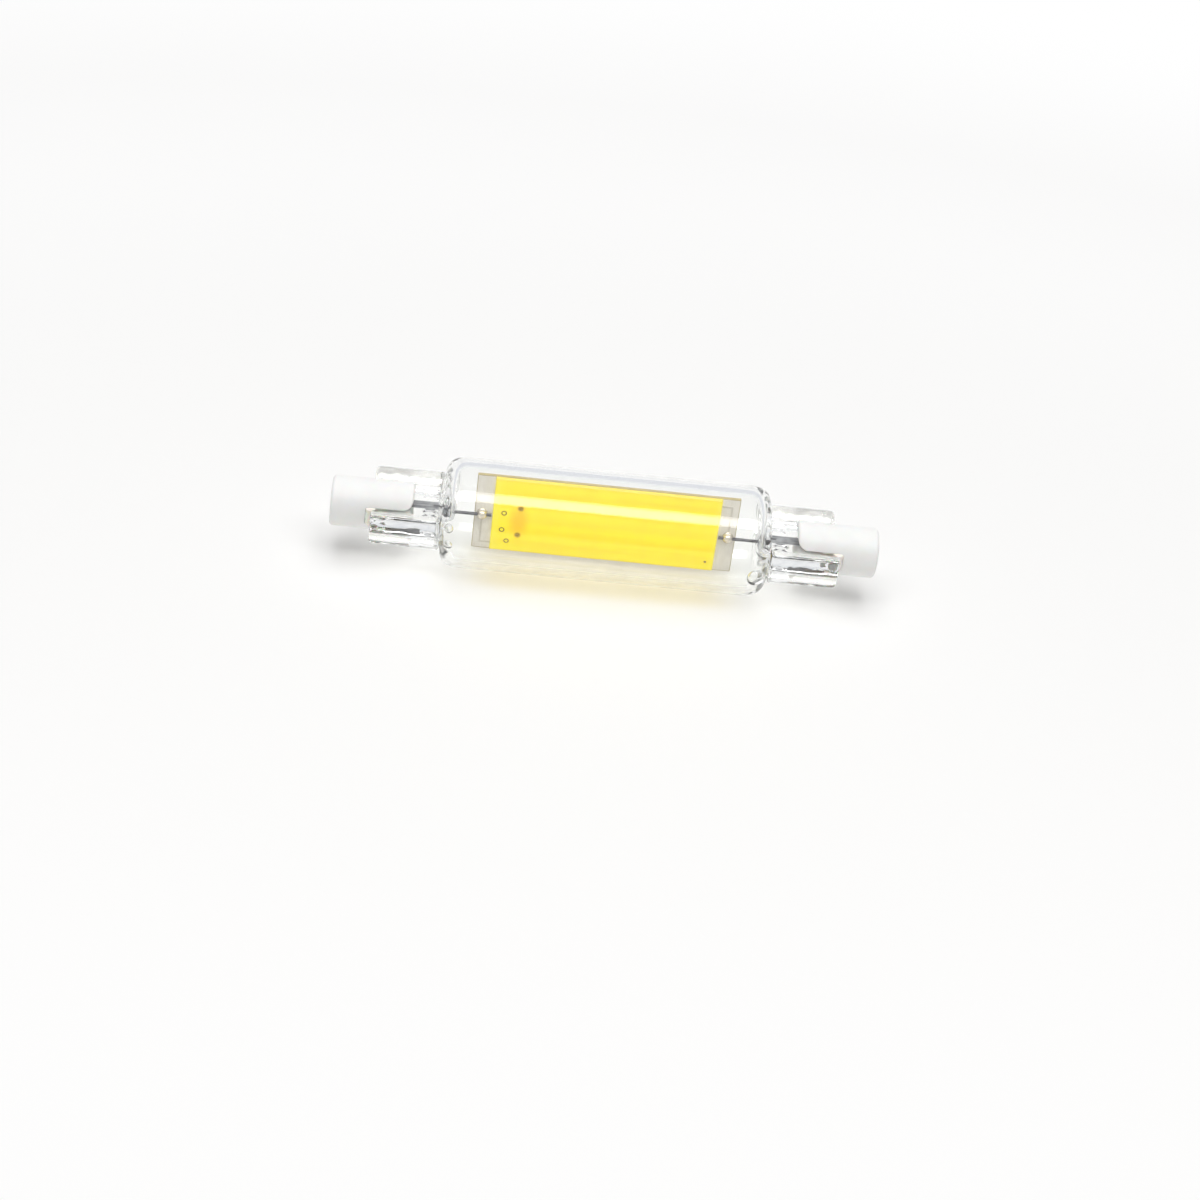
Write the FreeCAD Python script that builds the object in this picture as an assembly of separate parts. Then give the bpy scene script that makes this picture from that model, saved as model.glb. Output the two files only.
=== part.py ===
import FreeCAD, Part
import math
import os

from FreeCAD import Vector

# Double-ended linear LED lamp: a clear glass tube, pressed flat at both ends, round a ceramic LED board.
# X runs along the lamp and Z is normal to the flat pressed ends. The lit face of the board looks along -Y.
# The origin is the middle of the lamp. Sizes are in millimetres.

# Over both ceramic ends
LAMP_LENGTH = 78.0

# Ceramic caps
CAP_OD = 7.2
CAP_LENGTH = 11.7
CAP_SOLID = 5.0  # closed end beyond the slot
CAP_EDGE_BEVEL = 0.3
SLOT_MOUTH_ROUND = 1.5
SLOT_CORNER_ROUND = 0.4
RECESS_BORE = 4.9
CONTACT_DEPTH = 1.55  # rim of the cap to the face of the contact

# Metal contact buttons, each let into the floor of its recess
CONTACT_OD = 4.3
CONTACT_THICKNESS = 0.6
CONTACT_CLEARANCE = 0.1  # button to the wall of its seat
CONTACT_EDGE_BEVEL = 0.15

# Cement between cap and glass
CEMENT_SKIN = 0.15  # on each face of the web
CEMENT_GAP = 0.8  # end of the glass to the floor of the slot
CEMENT_SETBACK = 3.7  # mouth of the slot to the edge of the cement
CEMENT_SINK = 0.1  # below the barrel of the cap
BEAD_RADIUS = 0.75
BEAD_PROUD = 0.35  # squeezed out beyond the barrel

# Glass tube
TUBE_OD = 15.8
TUBE_WALL = 1.2
END_WALL = 1.6
SHOULDER_ROUND = 2.4
SHOULDER_BANDS = 3
CAVITY_BEVEL = 1.2

# Pressed glass ends, of I section: a flat web between two rails
PINCH_LENGTH = 10.0
PINCH_WIDTH = 13.0
WEB_THICKNESS = 2.4
RAIL_WIDTH = 2.1
RAIL_HEIGHT = 1.3  # above each face of the web
RAIL_ROUND = 0.9
RAIL_LIP_BEVEL = 0.4
RAIL_ROOT_BEVEL = 0.4
PINCH_FLARE = 0.3  # where the glass of the tube gathers into the press
PINCH_END_BEVEL = 0.4
DIMPLE_LENGTH = 2.1
DIMPLE_WIDTH = 1.2
DIMPLE_DEPTH = 0.2
DIMPLE_SPREAD = 5.2  # across the web, centre to centre
DIMPLE_OFFSET = 1.8  # beyond the shoulder
POCKET_DIA = 1.8  # round end of the cavity behind the root of each rail
POCKET_OFFSET = 0.1  # centre of the pocket beyond the flat end of the cavity
POCKET_WALL = 1.0  # glass left outside it

# Sealed metal
FOIL_LENGTH = 6.5
FOIL_WIDTH = 1.9
FOIL_THICKNESS = 0.1
FOIL_OFFSET = 0.35  # beyond the shoulder
FOIL_LAP = 1.0  # length of each lead welded over the foil
OUTER_LEAD_DIA = 0.6
INNER_LEAD_DIA = 0.45
LEAD_CLEARANCE = 0.03  # outer lead in the contact and the cap

# Board and what is printed, soldered and coated on it
LEAD_SPAN = 2.9  # free wire between glass and board
BOARD_THICKNESS = 0.5
BOARD_CLEARANCE = 0.55  # corners to the wall of the tube
TRACK_THICKNESS = 0.05
TRACK_WIDTH = 0.25
TRACK_INSET = 1.2  # long edge of the board to the track
PAD_DIA = 1.7
PAD_OFFSET = 1.1  # end of the board to the middle of the pad
SOLDER_DIA = 1.5
SOLDER_WAIST_DIA = 1.25  # half way up the dome
SOLDER_TOP_DIA = 0.5
SOLDER_UNDER = 0.06  # solder between pad and lead
SOLDER_OVER = 0.32  # solder over the lead
COAT_END_MARGIN = 2.6  # bare ends of the board
COAT_EDGE_MARGIN = 0.06
COAT_THICKNESS = 0.42
COAT_BEVEL = 0.15
LEAD_END_GAP = 0.15  # end of the inner lead to the coat

# Dies under the coat. Places are along the coat from its left end and across it from its middle.
LED_SIZE = (0.75, 0.4, 0.15)
LED_PITCH_X = 2.1
LED_PITCH_Z = 2.1
LED_EDGE_MARGIN = 1.2
DRIVER_ZONE = 6.3
RECTIFIER_SIZE = (0.6, 0.6, 0.25)
RECTIFIER_PLACES = [(2.6, 2.8), (1.6, 0.6), (1.5, -2.2), (2.3, -4.1)]
DRIVER_SIZE = (0.9, 0.65, 0.3)
DRIVER_PLACES = [(3.9, 1.6), (3.8, -2.9)]

# Two points closer than this are one
TOUCH = 1e-6

# Worked out from the driving dimensions
cap_end = LAMP_LENGTH / 2
cap_radius = CAP_OD / 2
cap_mouth = cap_end - CAP_LENGTH
slot_floor = cap_end - CAP_SOLID
slot_half = WEB_THICKNESS / 2 + CEMENT_SKIN
contact_face = cap_end - CONTACT_DEPTH
contact_seat = contact_face - CONTACT_THICKNESS
pinch_end = slot_floor - CEMENT_GAP
tube_end = pinch_end - PINCH_LENGTH
tube_radius = TUBE_OD / 2
bore_radius = tube_radius - TUBE_WALL
cavity_end = tube_end - END_WALL
board_end = cavity_end - LEAD_SPAN
board_front = INNER_LEAD_DIA / 2 + SOLDER_UNDER + TRACK_THICKNESS
board_back = board_front + BOARD_THICKNESS
board_half_width = math.sqrt((bore_radius - BOARD_CLEARANCE) ** 2 - board_back**2)
coat_end = board_end - COAT_END_MARGIN
coat_half_width = board_half_width - COAT_EDGE_MARGIN
pad_face = board_front - TRACK_THICKNESS
pad_place = board_end - PAD_OFFSET
lip_bevel = min(RAIL_LIP_BEVEL, 0.45 * RAIL_HEIGHT)
root_bevel = min(RAIL_ROOT_BEVEL, 0.45 * RAIL_HEIGHT)
foil_start = tube_end + FOIL_OFFSET
foil_end = foil_start + FOIL_LENGTH


def turned(points):
    """Solid of revolution about the lamp's axis, from the corners of a profile in X and Y."""
    face = Part.Face(Part.makePolygon(points + points[:1]))
    return face.revolve(Vector(0, 0, 0), Vector(1, 0, 0), 360)


def outline(corners, place):
    """Closed wire through (a, b, radius) corners, each rounded by its radius. place puts (a, b) in space."""
    starts = []
    arcs = []
    ends = []
    for index, (a, b, radius) in enumerate(corners):
        corner = place(a, b)
        before = place(*corners[index - 1][:2]).sub(corner).normalize()
        after = place(*corners[(index + 1) % len(corners)][:2]).sub(corner).normalize()
        half_angle = before.getAngle(after) / 2
        middle = before.add(after).normalize()
        reach = radius / math.tan(half_angle)
        start = corner + before * reach
        end = corner + after * reach
        peak = corner + middle * (radius / math.sin(half_angle) - radius)
        starts.append(start)
        arcs.append(Part.Arc(start, peak, end).toShape() if radius > 0 else None)
        ends.append(end)
    edges = []
    for index, arc in enumerate(arcs):
        if arc:
            edges.append(arc)
        edges.append(Part.LineSegment(ends[index], starts[(index + 1) % len(starts)]).toShape())
    return Part.Wire(edges)


def rod(radius, start, end):
    """Round bar along the lamp's axis."""
    return Part.makeCylinder(radius, end - start, Vector(start, 0, 0), Vector(1, 0, 0))


def frustum(base_dia, top_dia, height, base, direction):
    """Cone with its top cut off."""
    return Part.makeCone(base_dia / 2, top_dia / 2, height, base, direction)


def block(x_range, y_range, z_range):
    """Box between three pairs of limits."""
    low, high = zip(x_range, y_range, z_range)
    size = [b - a for a, b in zip(low, high)]
    return Part.makeBox(*size, Vector(*low))


def on_left(shape):
    """The same piece at the left end: half a turn about Y."""
    return shape.rotated(Vector(0, 0, 0), Vector(0, 1, 0), 180)


def pinch_section(x, grow):
    """I-shaped outline of the pressed glass at x, grown outwards by grow."""
    side = PINCH_WIDTH / 2 + grow
    inner = PINCH_WIDTH / 2 - RAIL_WIDTH - grow
    web = WEB_THICKNESS / 2 + grow
    top = web + RAIL_HEIGHT
    quarter = [(side, top, RAIL_ROUND + grow)]
    quarter += [(inner + lip_bevel, top, 0), (inner, top - lip_bevel, 0)]
    quarter += [(inner, web + root_bevel, 0), (inner - root_bevel, web, 0)]
    upper = quarter + [(-a, b, r) for a, b, r in reversed(quarter)]
    lower = [(-a, -b, r) for a, b, r in upper]
    return outline(upper + lower, lambda a, b: Vector(x, a, b))


def pinch():
    """Pressed end of the glass: a straight I section with its free end eased."""
    start = tube_end - SHOULDER_ROUND
    press = Part.Face(pinch_section(start, 0)).extrude(Vector(pinch_end - start, 0, 0))
    rim = [edge for edge in press.Edges if edge.BoundBox.XMin > pinch_end - TOUCH]
    return press.makeChamfer(min(PINCH_END_BEVEL, 0.9 * lip_bevel), rim)


def flare():
    """Collar where the glass of the tube gathers into the press. It starts a little inside the end wall."""
    reach = min(PINCH_FLARE, 0.6 * root_bevel)
    inset = 0.2 * root_bevel
    wide = pinch_section(tube_end - inset, reach + inset)
    return Part.makeLoft([wide, pinch_section(tube_end + reach, 0)], True, True)


def dimples():
    """Oval marks of the press jaws, on both faces of the web."""
    face = WEB_THICKNESS / 2
    radius = DIMPLE_WIDTH / 2
    straight = DIMPLE_LENGTH - DIMPLE_WIDTH
    start = tube_end + DIMPLE_OFFSET - straight / 2
    marks = []
    for y in (-DIMPLE_SPREAD / 2, DIMPLE_SPREAD / 2):
        for z in (-face, face - DIMPLE_DEPTH):
            ends = [Part.makeCylinder(radius, DIMPLE_DEPTH, Vector(x, y, z)) for x in (start, start + straight)]
            middle = block((start, start + straight), (y - radius, y + radius), (z, z + DIMPLE_DEPTH))
            marks.append(middle.fuse(ends).removeSplitter())
    return marks


def tube_blank():
    """Outside of the tube: a round bar whose shoulders are rounded in narrow bands."""
    flat = tube_radius - SHOULDER_ROUND
    bend = tube_end - SHOULDER_ROUND
    points = [Vector(0, 0, 0), Vector(tube_end, 0, 0)]
    for band in range(SHOULDER_BANDS + 1):
        turn = math.pi / 2 * band / SHOULDER_BANDS
        points.append(Vector(bend + SHOULDER_ROUND * math.cos(turn), flat + SHOULDER_ROUND * math.sin(turn), 0))
    points.append(Vector(0, tube_radius, 0))
    half = turned(points)
    return half.fuse(on_left(half)).removeSplitter().Solids[0]


def cavity():
    """Hollow of the tube, with a round pocket behind the root of each rail."""
    hollow = rod(bore_radius, -cavity_end, cavity_end)
    rims = [edge for edge in hollow.Edges if isinstance(edge.Curve, Part.Circle)]
    hollow = hollow.makeChamfer(CAVITY_BEVEL, rims)
    x = cavity_end + POCKET_OFFSET
    depth = bore_radius - POCKET_WALL
    pockets = []
    for side in (-x, x):
        pockets.append(Part.makeCylinder(POCKET_DIA / 2, 2 * depth, Vector(side, -depth, 0), Vector(0, 1, 0)))
    return hollow.fuse(pockets)


def seal_foil():
    half_width = FOIL_WIDTH / 2
    half_thick = FOIL_THICKNESS / 2
    return block((foil_start, foil_end), (-half_width, half_width), (-half_thick, half_thick))


def inner_lead(foil):
    """Wire from the foil to the edge of the coat, split over the foil."""
    wire = rod(INNER_LEAD_DIA / 2, coat_end + LEAD_END_GAP, foil_start + FOIL_LAP)
    return wire.cut(foil)


def outer_lead(foil):
    """Wire from the foil to the face of the contact, split over the foil."""
    wire = rod(OUTER_LEAD_DIA / 2, foil_end - FOIL_LAP, contact_face)
    return wire.cut(foil)


def glass_envelope(sealed_metal):
    """Tube and press seals in one piece of glass, closed round the sealed metal."""
    press = pinch().fuse(flare())
    glass = tube_blank().fuse([press, on_left(press)])
    hollows = dimples() + sealed_metal
    return glass.cut([cavity()] + hollows + [on_left(piece) for piece in hollows])


def slot():
    """Room for the web in the ceramic, with a rounded mouth and rounded corners at its floor."""
    mouth = cap_mouth - SLOT_MOUTH_ROUND
    flare = slot_half + SLOT_MOUTH_ROUND
    corner = min(SLOT_CORNER_ROUND, 0.8 * slot_half)
    upper = [(mouth, flare, 0), (cap_mouth, flare, 0), (cap_mouth + SLOT_MOUTH_ROUND, slot_half, 0)]
    floor = [(slot_floor, slot_half, corner), (slot_floor, -slot_half, corner)]
    lower = [(a, -b, r) for a, b, r in reversed(upper)]
    wire = outline(upper + floor + lower, lambda a, b: Vector(a, -CAP_OD, b))
    room = Part.Face(wire).extrude(Vector(0, 2 * CAP_OD, 0))
    jaw_x = cap_mouth + SLOT_MOUTH_ROUND
    jaw_z = slot_half + SLOT_MOUTH_ROUND
    jaws = []
    for z in (-jaw_z, jaw_z):
        jaws.append(Part.makeCylinder(SLOT_MOUTH_ROUND, 2 * CAP_OD, Vector(jaw_x, -CAP_OD, z), Vector(0, 1, 0)))
    return room.cut(jaws)


def cap():
    """Ceramic insulator: recess and seat for the contact at its end, slot for the glass at its mouth."""
    barrel = rod(cap_radius, cap_mouth, cap_end)
    rims = [edge for edge in barrel.Edges if isinstance(edge.Curve, Part.Circle)]
    barrel = barrel.makeChamfer(CAP_EDGE_BEVEL, rims)
    recess = rod(RECESS_BORE / 2, contact_face, cap_end)
    seat = rod(CONTACT_OD / 2 + CONTACT_CLEARANCE, contact_seat, contact_face)
    lead_hole = rod(OUTER_LEAD_DIA / 2 + LEAD_CLEARANCE, slot_floor, contact_seat)
    return barrel.cut([recess, seat, lead_hole, slot()])


def contact():
    """Pressed button with a hole for the lead."""
    button = rod(CONTACT_OD / 2, contact_seat, contact_face)
    rim = [edge for edge in button.Edges if isinstance(edge.Curve, Part.Circle)]
    rim = [edge for edge in rim if abs(edge.Curve.Center.x - contact_face) < CONTACT_THICKNESS / 2]
    button = button.makeChamfer(CONTACT_EDGE_BEVEL, rim)
    lead_hole = rod(OUTER_LEAD_DIA / 2 + LEAD_CLEARANCE, contact_seat, contact_face)
    return button.cut(lead_hole)


def cement(press, ceramic, lead):
    """Cement in the slot round the web, squeezed out in a bead on each side at the floor of the slot."""
    filling = slot().common(rod(cap_radius - CEMENT_SINK, cap_mouth + CEMENT_SETBACK, slot_floor))
    bead_y = cap_radius + BEAD_PROUD - BEAD_RADIUS
    beads = []
    for y in (-bead_y, bead_y):
        base = Vector(slot_floor - BEAD_RADIUS, y, -slot_half)
        beads.append(Part.makeCylinder(BEAD_RADIUS, 2 * slot_half, base, Vector(0, 0, 1)))
    return filling.fuse(beads).cut([press, ceramic, lead])


def led_board():
    return block((-board_end, board_end), (board_front, board_back), (-board_half_width, board_half_width))


def track():
    """Printed conductor: a solder pad, a run towards the long edge and a run under the coat's end."""
    rise = board_half_width - TRACK_INSET
    half = TRACK_WIDTH / 2
    depth = (pad_face, board_front)
    pad = Part.makeCylinder(PAD_DIA / 2, TRACK_THICKNESS, Vector(pad_place, pad_face, 0), Vector(0, 1, 0))
    up = block((pad_place - half, pad_place + half), depth, (0, rise + half))
    across = block((coat_end, pad_place + half), depth, (rise - half, rise + half))
    return pad.fuse([up, across]).removeSplitter()


def solder(lead):
    """Dome of solder on the pad, round the lead."""
    half_height = (SOLDER_UNDER + INNER_LEAD_DIA + SOLDER_OVER) / 2
    foot = Vector(pad_place, pad_face, 0)
    waist = Vector(pad_place, pad_face - half_height, 0)
    out = Vector(0, -1, 0)
    lower = frustum(SOLDER_DIA, SOLDER_WAIST_DIA, half_height, foot, out)
    upper = frustum(SOLDER_WAIST_DIA, SOLDER_TOP_DIA, half_height, waist, out)
    return lower.fuse(upper).cut(lead)


def dies(size, places):
    """Dies of one size on the face of the board."""
    length, width, height = size
    chips = []
    for x, z in places:
        across = (z - width / 2, z + width / 2)
        chips.append(block((x - length / 2, x + length / 2), (board_front - height, board_front), across))
    return chips


def led_places():
    """Grid of LED chips on the coat, clear of the driver's end."""
    start = -coat_end + DRIVER_ZONE
    length = coat_end - LED_EDGE_MARGIN - start
    width = 2 * (coat_half_width - LED_EDGE_MARGIN)
    columns = int(length / LED_PITCH_X) + 1
    rows = int(width / LED_PITCH_Z) + 1
    first_z = -LED_PITCH_Z * (rows - 1) / 2
    return [(start + i * LED_PITCH_X, first_z + j * LED_PITCH_Z) for i in range(columns) for j in range(rows)]


def phosphor_coat(chips):
    face = board_front - COAT_THICKNESS
    coat = block((-coat_end, coat_end), (face, board_front), (-coat_half_width, coat_half_width))
    rim = [edge for edge in coat.Edges if abs(edge.CenterOfMass.y - face) < COAT_THICKNESS / 4]
    return coat.makeChamfer(COAT_BEVEL, rim).cut(chips)


def all_pieces():
    """Every node's shape, by name."""
    foil = seal_foil()
    inner = inner_lead(foil)
    outer = outer_lead(foil)
    glass = glass_envelope([foil, inner, outer])
    ceramic = cap()
    both_ends = {
        "cap": ceramic,
        "contact": contact(),
        "cement": cement(pinch(), ceramic, outer),
        "seal_foil": foil,
        "outer_lead": outer,
        "inner_lead": inner,
        "solder": solder(inner),
        "track": track(),
    }
    leds = dies(LED_SIZE, led_places())
    rectifiers = dies(RECTIFIER_SIZE, [(x - coat_end, z) for x, z in RECTIFIER_PLACES])
    drivers = dies(DRIVER_SIZE, [(x - coat_end, z) for x, z in DRIVER_PLACES])
    pieces = {"glass_envelope": glass, "led_board": led_board()}
    for name, shape in both_ends.items():
        pieces["left_" + name] = on_left(shape)
        pieces["right_" + name] = shape
    pieces["led_dies"] = Part.makeCompound(leds)
    pieces["rectifier_dies"] = Part.makeCompound(rectifiers)
    pieces["driver_dies"] = Part.makeCompound(drivers)
    pieces["phosphor_coat"] = phosphor_coat(leds + rectifiers + drivers)
    return pieces


def main():
    os.makedirs("parts", exist_ok=True)
    for name, shape in all_pieces().items():
        solids = Part.makeCompound(shape.Solids) if len(shape.Solids) > 1 else shape.Solids[0]
        solids.exportStep(f"parts/{name}.step")
        print(f"{name}: {len(shape.Solids)} solids, {solids.Volume:.3f} mm3, valid {solids.isValid()}")


if __name__ == "__main__":
    main()
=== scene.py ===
# %% [markdown]
# # A double-ended linear LED bulb
# The bulb is a clear glass tube with flat pressed ends. White ceramic caps sit on the ends, and a narrow
# board with a yellow phosphor coat lies inside. The solid model comes in first, as a fixed frame in
# metres. X runs along the bulb, Z is normal to the pressed ends and the coated face of the board looks
# along -Y.

# %% Load the frame
import math

import bmesh
import bpy
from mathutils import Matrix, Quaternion, Vector


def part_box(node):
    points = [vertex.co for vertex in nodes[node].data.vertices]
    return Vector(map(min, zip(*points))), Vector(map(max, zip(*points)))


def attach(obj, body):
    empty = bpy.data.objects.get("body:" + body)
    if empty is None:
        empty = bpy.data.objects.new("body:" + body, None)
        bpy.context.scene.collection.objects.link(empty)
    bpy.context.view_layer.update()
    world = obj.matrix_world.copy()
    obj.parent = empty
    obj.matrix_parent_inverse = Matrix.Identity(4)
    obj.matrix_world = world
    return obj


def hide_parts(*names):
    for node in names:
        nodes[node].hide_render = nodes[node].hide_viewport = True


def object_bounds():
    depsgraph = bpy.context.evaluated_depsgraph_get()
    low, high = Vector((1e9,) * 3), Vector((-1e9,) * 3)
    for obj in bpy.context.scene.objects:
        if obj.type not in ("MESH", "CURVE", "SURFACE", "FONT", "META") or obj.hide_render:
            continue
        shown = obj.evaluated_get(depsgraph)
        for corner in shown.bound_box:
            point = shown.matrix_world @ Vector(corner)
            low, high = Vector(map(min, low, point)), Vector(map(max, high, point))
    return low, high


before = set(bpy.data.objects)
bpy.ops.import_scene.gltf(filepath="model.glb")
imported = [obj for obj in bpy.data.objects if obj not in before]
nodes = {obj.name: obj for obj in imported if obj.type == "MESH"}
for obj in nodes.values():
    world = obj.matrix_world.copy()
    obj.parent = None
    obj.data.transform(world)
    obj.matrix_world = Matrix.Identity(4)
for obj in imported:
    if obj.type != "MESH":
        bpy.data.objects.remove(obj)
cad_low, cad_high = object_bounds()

MM = 0.001
TINY = 1e-7
SIDES = ("left", "right")
WHITE = (1, 1, 1, 1)
bpy.ops.object.select_all(action="DESELECT")
print("frame:", len(nodes), "pieces,", [round(c / MM, 2) for c in cad_high - cad_low], "mm over all")

# %% [markdown]
# ## The camera
# A camera can be set by eye, or worked out from what the picture shows. Here the scale, the slope of the
# tube and the narrowing towards its far end are known, so the place is written as an angle, a height and
# a distance. The camera is then rolled until the tube has its slope, and turned a little so that the
# middle of the bulb falls on its own pixel.

# %% Place the camera
IMAGE_SIDE = 1200
BULB_PIXEL = (605.0, 526.5)
TUBE_SLOPE = math.radians(-5.65)
VIEW_AZIMUTH = math.radians(-4.0)
VIEW_ELEVATION = math.radians(33.0)
VIEW_DISTANCE = 0.375
NEAREST_SEEN = 0.01
SENSOR_MM = 36.0
LENS_MM = 78.9


def place_camera():
    """Camera whose picture has the bulb at its place and slope."""
    flat = math.cos(VIEW_ELEVATION)
    side = math.sin(VIEW_AZIMUTH) * flat
    back = Vector((side, -math.cos(VIEW_AZIMUTH) * flat, math.sin(VIEW_ELEVATION)))
    level = (-back).to_track_quat("-Z", "Y")
    tube = level.inverted() @ Vector((1, 0, 0))
    roll = Quaternion((0, 0, 1), math.atan2(tube.y, tube.x) - TUBE_SLOPE)
    focal = LENS_MM / SENSOR_MM * IMAGE_SIDE
    half = IMAGE_SIDE / 2
    bulb = Vector(((BULB_PIXEL[0] - half) / focal, (half - BULB_PIXEL[1]) / focal, -1))
    aim = Vector((0, 0, -1)).rotation_difference(bulb.normalized())
    bpy.ops.object.camera_add(location=back * VIEW_DISTANCE)
    camera = bpy.context.object
    camera.rotation_mode = "QUATERNION"
    camera.rotation_quaternion = level @ roll @ aim.inverted()
    camera.data.lens = LENS_MM
    camera.data.sensor_width = SENSOR_MM
    camera.data.clip_start = NEAREST_SEEN
    bpy.context.scene.camera = camera
    return camera


camera = place_camera()
bpy.context.scene.view_settings.view_transform = "Standard"
print("camera at", [round(c, 4) for c in camera.location])

# %% [markdown]
# ## Writing shaders as sums
# A procedural finish is arithmetic on positions and noise. Wiring each Math node by hand hides the
# formula, so one small class wraps a node's output and gives it Python's operators. Everything else goes
# through one method that adds a node, sets it up and links it.


# %% A socket that Python can do sums with
class Socket:
    """An output of a node. Sums on it add Math nodes to the same tree."""

    def __init__(self, finish, output):
        self.finish = finish
        self.output = output

    def math(self, operation, *values):
        """A Math node on these numbers and sockets."""
        return self.finish.add("ShaderNodeMath", {"operation": operation}, dict(enumerate(values)))

    def __add__(self, other):
        return self.math("ADD", self, other)

    def __radd__(self, other):
        return self.math("ADD", other, self)

    def __sub__(self, other):
        return self.math("SUBTRACT", self, other)

    def __rsub__(self, other):
        return self.math("SUBTRACT", other, self)

    def __mul__(self, other):
        return self.math("MULTIPLY", self, other)

    def __rmul__(self, other):
        return self.math("MULTIPLY", other, self)

    def __truediv__(self, other):
        return self.math("DIVIDE", self, other)

    def __rtruediv__(self, other):
        return self.math("DIVIDE", other, self)

    def __pow__(self, other):
        return self.math("POWER", self, other)

    def __rpow__(self, other):
        return self.math("POWER", other, self)

    def abs(self):
        return self.math("ABSOLUTE", self)

    def sine(self):
        return self.math("SINE", self)

    def max(self, other):
        return self.math("MAXIMUM", self, other)

    def fade(self, start, end):
        """0 at start and before, 1 at end and beyond, smooth between. start may be the larger."""
        limits = {"Value": self, "From Min": start, "From Max": end}
        return self.finish.add("ShaderNodeMapRange", {"interpolation_type": "SMOOTHSTEP"}, limits)

    def between(self, low, high):
        """low where the socket is 0 and high where it is 1."""
        return self * (high - low) + low


print("a socket knows", [name for name in vars(Socket) if not name.startswith("__")])

# %% A tree that expressions build
# How much detail noise has
SMOOTH = 1.0
CLOUDY = 2.0
FINE = 3.0


class Finish:
    """A node tree that is built by expressions."""

    def __init__(self, tree):
        self.tree = tree

    def add(self, kind, settings=None, inputs=None, output=0):
        """Adds a node, sets it up, fills or links its inputs and returns one output."""
        node = self.tree.nodes.new(kind)
        for name, value in (settings or {}).items():
            setattr(node, name, value)
        for name, value in (inputs or {}).items():
            if isinstance(value, Socket):
                self.tree.links.new(value.output, node.inputs[name])
            else:
                node.inputs[name].default_value = value
        return Socket(self, node.outputs[output])

    def place(self):
        """Position on the piece in millimetres, as a vector and as its three numbers."""
        metres = self.add("ShaderNodeTexCoord", output="Object")
        vector = self.add("ShaderNodeVectorMath", {"operation": "SCALE"}, {0: metres, "Scale": 1 / MM})
        return vector, [self.add("ShaderNodeSeparateXYZ", None, {0: vector}, axis) for axis in "XYZ"]

    def noise(self, vector, scale, detail=CLOUDY):
        """Soft noise from 0 to 1 with about scale lumps to the millimetre."""
        inputs = {"Vector": vector, "Scale": scale, "Detail": detail}
        return self.add("ShaderNodeTexNoise", None, inputs, "Fac")

    def stretch(self, vector, factors):
        """The same place, with each axis scaled, so that noise runs in streaks."""
        return self.add("ShaderNodeVectorMath", {"operation": "MULTIPLY"}, {0: vector, 1: factors})

    def blend(self, share, low, high):
        """Colour between low and high."""
        # The colour sockets share their names with others of the node, so they go by number
        inputs = {0: share, 6: low, 7: high}
        return self.add("ShaderNodeMix", {"data_type": "RGBA"}, inputs, 2)

    def relief(self, height, depth_mm):
        """Bump of a height from 0 to 1 that stands for depth_mm."""
        inputs = {"Height": height, "Strength": 1.0, "Distance": depth_mm * MM}
        return self.add("ShaderNodeBump", None, inputs)


print("a finish knows", [name for name in vars(Finish) if not name.startswith("__")])


# %% Materials
def new_material(name, plain, build):
    """Principled material: plain sets what is the same all over, and build links what varies."""
    material = bpy.data.materials.new(name)
    material.use_nodes = True
    shader = material.node_tree.nodes["Principled BSDF"]
    for socket, value in plain.items():
        shader.inputs[socket].default_value = value
    for socket, value in build(Finish(material.node_tree)).items():
        material.node_tree.links.new(value.output, shader.inputs[socket])
    return material


def mix_in(material, share, shader):
    """Shows another shader in place of the material's own, in this share."""
    tree = material.node_tree
    own = Socket(share.finish, tree.nodes["Principled BSDF"].outputs["BSDF"])
    both = share.finish.add("ShaderNodeMixShader", None, {0: share, 1: own, 2: shader})
    tree.links.new(both.output, tree.nodes["Material Output"].inputs["Surface"])


def dress(piece, material):
    """Gives the whole piece one material."""
    piece.data.materials.clear()
    piece.data.materials.append(material)
    print(piece.name, "wears", material.name)


# %% [markdown]
# ## The floor
# The bulb lies on white paper. Paper that is lit until it is all white would burn out the white caps, so
# it is lit plainly near the bulb, where it carries the shadows, and turns into a white glow further off.
# Only the eye and the rays that glass and metal send on see this glow, so it lights nothing. Under the
# tube a pool of warm yellow light is painted into the paper's colour, for the light that has passed the
# yellow coat.

# %% Lay the floor
FLOOR_SIDE = 3.0
FLOOR_PLAIN = {"Roughness": 0.9, "Specular IOR Level": 0.1}
FLOOR_WHITE = (0.95, 0.945, 0.935, 1)
# Painted light: the colour of the light from the yellow coat, painted on the paper under the tube
FLOOR_PAINTED_LIGHT = (0.95, 0.87, 0.66, 1)
PAINTED_LIGHT_SHARE = 0.6
PAINTED_LIGHT_MIDDLE = -1.5
PAINTED_LIGHT_ALONG = (22, 14)
PAINTED_LIGHT_ACROSS = (6.5, 3)
NEAR_GLOW = 0.05
FAR_GLOW = 0.6
GLOW_REACH = (35, 130)
WHITE_REACH = (60, 240)
# The lit patch is longer along the bulb, where the square of a distance counts for less
ALONG_WEIGHT = 0.4


def seen_rays(finish):
    """1 for rays from the eye and for those that glass or metal sends on."""
    kinds = ("Camera", "Glossy", "Transmission")
    rays = [finish.add("ShaderNodeLightPath", output=f"Is {kind} Ray") for kind in kinds]
    return rays[0].max(rays[1]).max(rays[2])


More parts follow.
